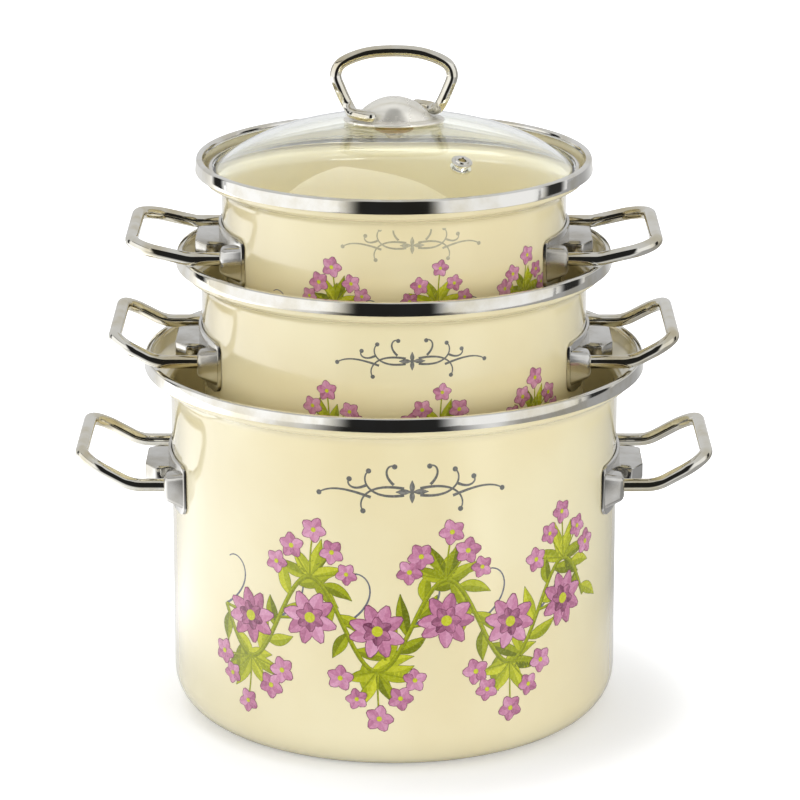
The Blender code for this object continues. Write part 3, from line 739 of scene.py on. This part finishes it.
def makeKnobFixing(boss, bore):
    # the gasket over the glass, and the washer and the screw under it
    size, gap = knobSizes, lidSizes["gap"]
    outer, inner, bend = size["gasketOuter"], size["gasketInner"], size["gasketBend"]
    line = arcs([
        (outer, boss - gap, bend), (outer, glassTop(outer) + gap, bend),
        (inner, glassTop(inner) + gap, 0), (inner, boss - gap, 0),
    ], steps=3, closed=True)
    settle(turn("lidKnobGasket", line, silicone, closed=True, steps=96), "lid", "gasket", "lid_knob_gasket")

    washer = size["washer"]
    top = glassTop(washer) - lidSizes["glass"] - gap
    under = top - size["washerSheet"]
    line = arcs([
        (washer, top, size["washerTop"]), (washer, under, size["washerUnder"]),
        (bore, under, 0), (bore, top, 0),
    ], steps=4, closed=True)
    settle(turn("lidKnobWasher", line, silicone, closed=True, steps=64), "lid", "gasket", "lid_knob_washer")

    tip, start, end = boss + size["bite"], under - gap, under - gap - size["headHeight"]
    line = arcs([
        (0, tip, 0), (size["screw"], tip, size["tipBend"]), (size["screw"], start, 0),
        (size["head"], start, size["headTop"]), (size["head"], end + size["chamfer"], size["headSide"]),
        (size["head"] - size["chamfer"], end, size["headUnder"]), (0, end, 0),
    ], steps=4)
    settle(turn("lidKnobScrew", line, pressedSteel, steps=48), "lid", "steel", "lid_knob_screw")


def smoothLine(knots, steps):
    # Catmull-Rom curve through the knots
    line = []
    for i in range(len(knots) - 1):
        before, here = knots[max(i - 1, 0)], knots[i]
        there, after = knots[i + 1], knots[min(i + 2, len(knots) - 1)]
        for k in range(steps):
            t = k / steps
            bend = 2 * before - 5 * here + 4 * there - after
            tail = 3 * here - before - 3 * there + after
            line.append((2 * here + (there - before) * t + bend * t ** 2 + tail * t ** 3) / 2)
    return line + [knots[-1]]


def makeLoop(flange):
    size = loopSizes
    radius = size["wire"] - size["skin"]
    low = flange + size["stand"] + size["wire"]
    rise = size["height"] - size["stand"] - 2 * size["wire"]
    angles = [math.radians(size["sweep"]) * (1 - k / size["footSpots"]) for k in range(size["footSpots"])]
    half = [Vector((-size["foot"] * math.cos(a), -size["footDepth"] * math.sin(a), low)) for a in angles]
    half += [Vector((-size["halfWidth"] * out, 0, low + rise * up))
             for out, up in zip(size["outShares"], size["upShares"])]
    line = smoothLine(half + [Vector((-p.x, -p.y, p.z)) for p in reversed(half[:-1])], 8)
    # the two ends are rounded off
    tips = [math.radians(a) for a in size["tipAngles"]]
    lead = (line[1] - line[0]).normalized()
    tail = (line[-2] - line[-1]).normalized()
    front = [line[0] + lead * radius * (1 - math.cos(a)) for a in tips]
    back = [line[-1] + tail * radius * (1 - math.cos(a)) for a in tips]
    trim = radius * size["trim"]
    body = [p for p in line if (p - line[0]).length > trim and (p - line[-1]).length > trim]
    ball = [math.sin(a) for a in tips]
    thin = ball + [1.0] * len(body) + ball[::-1]
    loop = pipe("lidKnobLoop", front + body + back[::-1], radius, wireSteel, thin=thin)
    settle(loop, "lid", "steel", "lid_knob_loop")


makePane()
makeLidBand()
makeEyelet()
knobFlange = glassTop(0) + lidSizes["gap"] + knobSizes["sheet"]
knobBoss = glassTop(0) + 2 * lidSizes["gap"] + knobSizes["gasket"]
knobBore = knobSizes["screw"] + lidSizes["gap"]
makeKnob(knobFlange, knobBoss, knobBore)
makeKnobFixing(knobBoss, knobBore)
makeLoop(knobFlange)
print("lid made")


# Print on each front: a flowering vine under a small scroll. u runs round the pot and v up it.

printSizes = {
    "ink": 0.02, "rise": 0.03, "layer": 0.012, "creep": 0.0004, "creeps": 24, "swing": 8.0, "least": 0.03,
}
prints = {
    "large": {"scale": 1.0, "middle": 70.0, "scroll": 132.0, "seed": 4, "ink": greyInk},
    "medium": {"scale": 0.80, "middle": 57.0, "scroll": 106.0, "seed": 9, "ink": greyInk},
    "small": {"scale": 0.74, "middle": 50.0, "scroll": 92.5, "seed": 15, "ink": paleInk},
}
leafLook = {
    "shares": (0.25, 0.55, 0.82, 0.97, 1.0, 0.93, 0.78, 0.55, 0.28, 0.0), "shade": 0.28, "edge": 0.16,
}
blossomLook = {
    "shares": (0.22, 0.62, 0.95, 1.0, 0.76, 0.2), "round": 3.9, "shade": 0.2, "edge": 0.045, "widest": 0.3,
    "eye": 0.2, "eyeTone": 0.9, "eyeLayer": 12,
}
vineSizes = {
    "waves": 3, "wave": 61.0, "swing": 21.0, "steps": 96, "stem": 1.8, "stemEdge": 0.12, "heart": 0.1,
    "leaf": 18.0, "leafWidth": 5.6, "leafStep": 2, "crestLeaves": (-74, -24, 22, 70),
    "flower": 12.5, "inner": 0.52, "petals": (8, 6), "twig": 1.2, "twigEdge": 0.1,
    "bud": 5.4, "stalk": 0.8, "stalks": ((-78, 17), (-40, 16), (0, 22), (40, 16), (78, 17)),
    "curl": 36.0, "curlAngle": 60, "curlWind": -210, "curlLine": 1.9, "curlTone": 0.3, "tones": (0.5, 0.3),
}
curlSizes = {"steps": 26, "slow": 0.25, "fast": 2.0, "line": 0.55, "taper": 0.5}
# start, angle, length and wind of each line on the right of the scroll
scrollLines = (
    ((3.5, 1.5), 78, 26, 150), ((3.5, -1.5), 100, 25, -165), ((18, -2.5), 70, 24, 60),
    ((8, 3.2), 48, 12, -190), ((20, 3), 120, 11, -180),
)
scrollSizes = {
    "line": 2.4, "dot": 0.5, "gap": 1.0, "wide": (6.0, 2.2), "tall": (5.0, 2.0), "rosette": 1.1,
    "lineTone": 0.2, "leafTone": 0.6, "dotTone": 0.3,
}


def newSheet():
    return {"points": [], "faces": [], "tones": [], "count": 0}


def addBlade(sheet, axis, widths, tones, layer):
    # a strip with a left and a right half along its axis; a higher layer lies over a lower one
    size = printSizes
    sheet["count"] += 1
    height = size["rise"] + size["layer"] * layer + size["creep"] * (sheet["count"] % size["creeps"])
    start = len(sheet["points"])
    last = len(axis) - 1
    for i, (spot, width) in enumerate(zip(axis, widths)):
        ahead = axis[min(i + 1, last)] - axis[max(i - 1, 0)]
        across = Vector((-ahead.y, ahead.x)).normalized() * max(width, size["least"]) / 2
        for point in (spot + across, spot, spot - across):
            sheet["points"].append((point.x, point.y, height))
    for i in range(last):
        for half in (0, 1):
            a = start + 3 * i + half
            sheet["faces"].append((a, a + 1, a + 4, a + 3))
            sheet["tones"].append(tones[half])


def bow(start, angle, length, bend, steps):
    # a path that sets off at an angle from upright and turns by bend on its way
    line = [Vector(start)]
    for k in range(steps):
        heading = math.radians(angle + bend * (k + 0.5) / steps)
        line.append(line[-1] + Vector((math.sin(heading), math.cos(heading))) * length / steps)
    return line


def outlined(sheet, axis, widths, tones, layer, edge):
    # a darker rim below, then the shape
    first = (axis[0] - axis[1]).normalized() * edge
    last = (axis[-1] - axis[-2]).normalized() * edge
    rim = [axis[0] + first] + axis[1:-1] + [axis[-1] + last]
    addBlade(sheet, rim, [w + 2 * edge for w in widths], (0.0, 0.0), layer)
    addBlade(sheet, axis, widths, tones, layer + 1)


def addDot(sheet, spot, radius, tone, layer):
    angles = [math.pi * k / 6 for k in range(7)]
    axis = [spot + Vector((0, -math.cos(a) * radius)) for a in angles]
    addBlade(sheet, axis, [2 * radius * math.sin(a) for a in angles], (tone, tone), layer)


def addLeaf(sheet, start, angle, length, width, bend, scale, tone):
    look = leafLook
    axis = bow(start, angle, length, bend, len(look["shares"]) - 1)
    widths = [width * share for share in look["shares"]]
    outlined(sheet, axis, widths, (tone, tone - look["shade"]), 0, look["edge"] * scale)


def addBlossom(sheets, spot, radius, chance, layer, count=5, low=0.5, high=0.95):
    look = blossomLook
    turnBy = chance.uniform(0, 72)
    width = radius * look["round"] / count
    edge = min(look["edge"] * radius, look["widest"])
    for k in range(count):
        angle = turnBy + 360 * k / count + chance.uniform(-5, 5)
        axis = bow(spot, angle, radius, chance.uniform(-12, 12), len(look["shares"]) - 1)
        tone = chance.uniform(low, high)
        widths = [width * share for share in look["shares"]]
        outlined(sheets["petal"], axis, widths, (tone, tone - look["shade"]), layer, edge)
    addDot(sheets["leaf"], spot, radius * look["eye"], look["eyeTone"], layer + look["eyeLayer"])


def vineStem(middle, scale):
    steps, wave, swing = vineSizes["steps"], vineSizes["wave"] * scale, vineSizes["swing"] * scale
    shares = [vineSizes["waves"] * (k / steps - 0.5) for k in range(steps + 1)]
    return [Vector((share * wave, middle + swing * math.sin(math.tau * share))) for share in shares]


def addVine(sheets, middle, scale, chance):
    # a waving stem with leaves, a wide flower in each bend and five small ones outside it
    size, leaf, tones = vineSizes, sheets["leaf"], vineSizes["tones"]
    wave, long, wide = size["wave"] * scale, size["leaf"] * scale, size["leafWidth"] * scale
    stem = vineStem(middle, scale)
    outlined(leaf, stem, [size["stem"] * scale] * len(stem), tones, 2, size["stemEdge"] * scale)
    for i, k in enumerate(range(1, size["steps"], size["leafStep"])):
        ahead = stem[k + 1] - stem[k - 1]
        side = -1 if i % 2 else 1
        angle = math.degrees(math.atan2(ahead.x, ahead.y)) + side * chance.uniform(32, 62)
        length = long * chance.uniform(0.7, 1.1)
        bend = -side * chance.uniform(5, 40)
        addLeaf(leaf, stem[k], angle, length, wide, bend, scale, chance.uniform(0.4, 0.95))
    for i in range(2 * size["waves"]):
        u = (i + 0.5 - size["waves"]) * wave / 2
        up = 1 if math.sin(math.tau * u / wave) > 0 else -1
        crest = Vector((u, middle + up * size["swing"] * scale))
        heart = Vector((u, middle + up * size["heart"] * size["swing"] * scale))
        root = Vector((u - wave / 4, middle))
        twig = [root.lerp(heart, k / 6) for k in range(7)]
        outlined(leaf, twig, [size["twig"] * scale] * len(twig), tones, 2, size["twigEdge"] * scale)
        flower, (outer, inner) = size["flower"] * scale, size["petals"]
        addBlossom(sheets, heart, flower, chance, 8, outer)
        addBlossom(sheets, heart, flower * size["inner"], chance, 12, inner, 0.2, 0.5)
        outward = 90 - 90 * up
        for lean, length in size["stalks"]:
            twig = bow(crest, outward + lean, length * scale, chance.uniform(-14, 14), 6)
            addBlade(leaf, twig, [size["stalk"] * scale] * len(twig), tones, 3)
            addBlossom(sheets, twig[-1], size["bud"] * scale * chance.uniform(0.9, 1.15), chance, 8)
        for lean in size["crestLeaves"]:
            length = long * chance.uniform(0.8, 1.05)
            bend = chance.uniform(-20, 20)
            addLeaf(leaf, crest, outward + lean, length, wide, bend, scale, chance.uniform(0.4, 0.95))
        addCurl(sheets["curl"], root, size["curlAngle"], size["curl"] * scale, size["curlWind"],
                size["curlLine"] * scale, size["curlTone"])


def addCurl(sheet, start, angle, length, wind, scale, tone, dot=0.0):
    # a line that winds up towards its end
    size, steps = curlSizes, curlSizes["steps"]
    axis = [Vector(start)]
    heading = angle
    for k in range(steps):
        heading += wind * (size["slow"] + size["fast"] * (k / steps) ** 2) / steps
        direction = Vector((math.sin(math.radians(heading)), math.cos(math.radians(heading))))
        axis.append(axis[-1] + direction * length / steps)
    widths = [size["line"] * scale * (1 - size["taper"] * k / steps) for k in range(steps + 1)]
    addBlade(sheet, axis, widths, (tone, tone), -1)
    if dot:
        addDot(sheet, axis[-1], dot * scale, tone, 0)


def addScroll(sheet, v, scale):
    # winding lines on each side of a small rosette
    size = scrollSizes
    tone, (wide, thick), (tall, thin) = size["leafTone"], size["wide"], size["tall"]
    for side in (-1, 1):
        for (across, up), angle, length, wind in scrollLines:
            spot = (side * across * scale, v + up * scale)
            addCurl(sheet, spot, side * angle, length * scale, side * wind, scale * size["line"],
                    size["lineTone"], size["dot"])
        root = (side * size["gap"] * scale, v)
        addLeaf(sheet, root, side * 90, wide * scale, thick * scale, 0, scale, tone)
    for angle in (0, 180):
        addLeaf(sheet, (0, v), angle, tall * scale, thin * scale, 0, scale, tone)
    addDot(sheet, Vector((0, v)), size["rosette"] * scale, size["dotTone"], 3)


def wrap(name, sheet, pot, material, piece):
    # stands the flat shapes on the pot's wall and gives them their thickness
    points = []
    for u, v, height in sheet["points"]:
        angle = (u + printSizes["swing"]) / pot["radius"]
        r = pot["radius"] + height
        points.append((r * math.sin(angle) * mm, -r * math.cos(angle) * mm, (pot["base"] + v) * mm))
    mesh = bpy.data.meshes.new(piece)
    mesh.from_pydata(points, [], sheet["faces"])
    mesh.attributes.new("tone", "FLOAT", "FACE").data.foreach_set("value", sheet["tones"])
    obj = bpy.data.objects.new(piece, mesh)
    bpy.context.scene.collection.objects.link(obj)
    apply(obj, "SOLIDIFY", thickness=printSizes["ink"] * mm, offset=-1)
    finishPiece(obj, material, 30)
    settle(obj, f"{name}_pot", "cream_enamel")


for name, row in prints.items():
    pot = pots[name]
    scale = row["scale"]
    sheets = {"petal": newSheet(), "leaf": newSheet(), "curl": newSheet(), "scroll": newSheet()}
    addVine(sheets, row["middle"], scale, random.Random(row["seed"]))
    addScroll(sheets["scroll"], row["scroll"], scale)
    wrap(name, sheets["curl"], pot, curlInk, f"{name}PrintTendrils")
    wrap(name, sheets["leaf"], pot, leafInk, f"{name}PrintLeaves")
    wrap(name, sheets["petal"], pot, petalInk, f"{name}PrintPetals")
    wrap(name, sheets["scroll"], pot, row["ink"], f"{name}PrintScroll")
print("prints made")


# Studio: floor, cards that only reflections see, lamps, world and camera

def plainPlane(name, middle, width, height, facing, material):
    bpy.ops.object.select_all(action="DESELECT")
    bpy.ops.mesh.primitive_plane_add(size=1, location=middle)
    obj = bpy.context.active_object
    obj.name = name
    obj.scale = (width, height, 1)
    if facing != (0, 0, 1):
        obj.rotation_euler = Vector(facing).to_track_quat("Z", "Y").to_euler()
    obj.data.materials.append(material)
    return obj


floorLook = {
    "tint": (0.78, 0.79, 0.82, 1), "width": 16.0, "back": 2.0,
    "near": 0.115, "far": 0.19, "nearGlow": 0.33, "farGlow": 0.9,
}


def makeFloor():
    # less glow near the pots, so that their shadow shows
    look = floorLook
    fixed = {"Base Color": look["tint"], "Roughness": 0.9, "Emission Color": (1, 1, 1, 1)}
    finish = Finish("paleFloor", fixed)
    back, width = (0, look["back"], 0), look["width"]
    metres = {"Vector": finish.place(), "Location": back, "Scale": (width, width, width)}
    reach = finish.node("ShaderNodeVectorMath", {0: finish.node("ShaderNodeMapping", metres)}, out=1,
                        operation="LENGTH")
    glow = finish.limit(reach, look["near"], look["far"], look["nearGlow"], look["farGlow"])
    finish.feed("Emission Strength", seenRays(finish.tree) * glow)
    plainPlane("floor", back, width, width, (0, 0, 1), finish.material)


def reflectOnly(card):
    for rays in ("camera", "diffuse", "transmission", "shadow", "volume_scatter"):
        setattr(card, f"visible_{rays}", False)


def makeCard(name, middle, width, height, facing, level, soft, around):
    # a card seen in reflections alone; its two sides fade to the level around it
    finish = Finish(name, {"Base Color": (0, 0, 0, 1), "Roughness": 1.0})
    parts = finish.node("ShaderNodeSeparateXYZ", {"Vector": finish.place()})
    distance = finish.node("ShaderNodeMath", {0: parts}, operation="ABSOLUTE")
    fade = finish.limit(distance, 0.5 - soft, 0.5, level, around)
    glow = finish.node("ShaderNodeEmission", {"Color": fade, "Strength": 1.0})
    finish.surface(glow)
    reflectOnly(plainPlane(name, middle, width, height, facing, finish.material))


# levels, distances from the middle and angles round it: 0 at the camera, less than 0 to the left
floorGlow = {
    "width": 5.0, "lift": 0.001, "near": 0.13, "far": 0.22, "plain": 0.85,
    "dark": 0.02, "darkAngles": (0.34, 0.74),
    "left": 1.8, "leftRise": (-2.40, -1.90), "leftFall": (-1.45, -0.70),
    "right": 0.4, "rightRise": (0.70, 1.00), "rightFall": (2.3, 2.9),
}


def makeFloorGlow():
    # what reflections see of the floor
    look = floorGlow
    finish = Finish("floorGlow", {"Base Color": (0, 0, 0, 1), "Roughness": 1.0})
    where = finish.place()
    across = finish.node("ShaderNodeSeparateXYZ", {"Vector": where})
    along = finish.node("ShaderNodeSeparateXYZ", {"Vector": where}, out=1)
    angle = across.maths("ARCTAN2", across, 0 - along)
    ahead = finish.node("ShaderNodeMath", {0: angle}, operation="ABSOLUTE")
    level = finish.limit(ahead, *look["darkAngles"], look["dark"], look["plain"])
    left = finish.limit(angle, *look["leftRise"]) * (1 - finish.limit(angle, *look["leftFall"]))
    right = finish.limit(angle, *look["rightRise"]) * (1 - finish.limit(angle, *look["rightFall"]))
    level = level + left * (look["left"] - look["plain"]) - right * (look["plain"] - look["right"])
    glow = finish.node("ShaderNodeEmission", {"Color": level, "Strength": 1.0})
    clear = finish.node("ShaderNodeBsdfTransparent")
    reach = finish.node("ShaderNodeVectorMath", {0: where}, out=1, operation="LENGTH")
    width = look["width"]
    share = finish.limit(reach, look["near"] / width, look["far"] / width)
    finish.surface(finish.node("ShaderNodeMixShader", {0: share, 1: clear, 2: glow}))
    reflectOnly(plainPlane("floorGlow", (0, 0, look["lift"]), width, width, (0, 0, 1), finish.material))


# name, middle, width, height, facing, level, softness of its sides and level around it
cards = (
    ("frontCard", (0, -1.20, 0.95), 1.36, 1.90, (0, 1, 0), 0.02, 0.22, 0.95),
    ("leftBox", (-1.027, -0.394, 0.48), 1.84, 0.96, (0.934, 0.358, 0), 1.2, 0.04, 0.95),
    ("leftFrame", (-1.027, -0.394, 1.06), 1.84, 0.18, (0.934, 0.358, 0), 0.04, 0.05, 0.2),
    ("rightBox", (0.933, -0.583, 0.48), 1.24, 0.96, (-0.848, 0.53, 0), 1.0, 0.08, 0.9),
    ("leftCard", (-1.32, 0.70, 0.35), 0.40, 0.9, (0.88, -0.47, 0), 0.02, 0.28, 0.9),
    ("rightCard", (1.40, 0.30, 0.35), 0.62, 0.9, (-0.97, -0.2, 0), 0.03, 0.30, 0.9),
)
makeFloor()
makeFloorGlow()
for card in cards:
    makeCard(*card)

lampAim = Vector((0, 0, 0.14))
# name, place, width and power
lamps = (
    ("keyLamp", (-1.50, -0.6, 0.50), 0.9, 7.8),
    ("fillLamp", (1.0, -1.6, 0.40), 0.8, 14.5),
    ("topLamp", (-0.3, 0.3, 1.7), 1.2, 13.0),
)
for name, spot, width, power in lamps:
    lamp = bpy.data.lights.new(name, "AREA")
    lamp.size = width
    lamp.energy = power
    obj = bpy.data.objects.new(name, lamp)
    obj.location = spot
    obj.rotation_euler = (Vector(spot) - lampAim).to_track_quat("Z", "Y").to_euler()
    obj.visible_glossy = False
    bpy.context.scene.collection.objects.link(obj)

# the world's light, and what is added where the camera or a reflection sees it
skyLight = {"plain": 0.54, "seen": 0.46, "gloss": 0.14}
world = bpy.data.worlds.new("studio")
bpy.context.scene.world = world
world.use_nodes = True
sky = world.node_tree
gloss = addNode(sky, "ShaderNodeLightPath", out="Is Glossy Ray")
light = skyLight["plain"] + seenRays(sky) * skyLight["seen"] + gloss * skyLight["gloss"]
plug(sky, sky.nodes["Background"].inputs["Strength"], light)
sky.nodes["Background"].inputs["Color"].default_value = (1, 1, 1, 1)

cameraSizes = {"lens": 175.16, "sensor": 36.0, "place": (0.002695, -1.707553, 0.648331), "down": 16.47}
view = bpy.data.cameras.new("camera")
view.lens = cameraSizes["lens"]
view.sensor_width = cameraSizes["sensor"]
camera = bpy.data.objects.new("camera", view)
camera.location = cameraSizes["place"]
camera.rotation_euler = (math.radians(90 - cameraSizes["down"]), 0, 0)
bpy.context.scene.collection.objects.link(camera)
bpy.context.scene.camera = camera
bpy.context.scene.view_settings.view_transform = "Standard"
print("studio made")
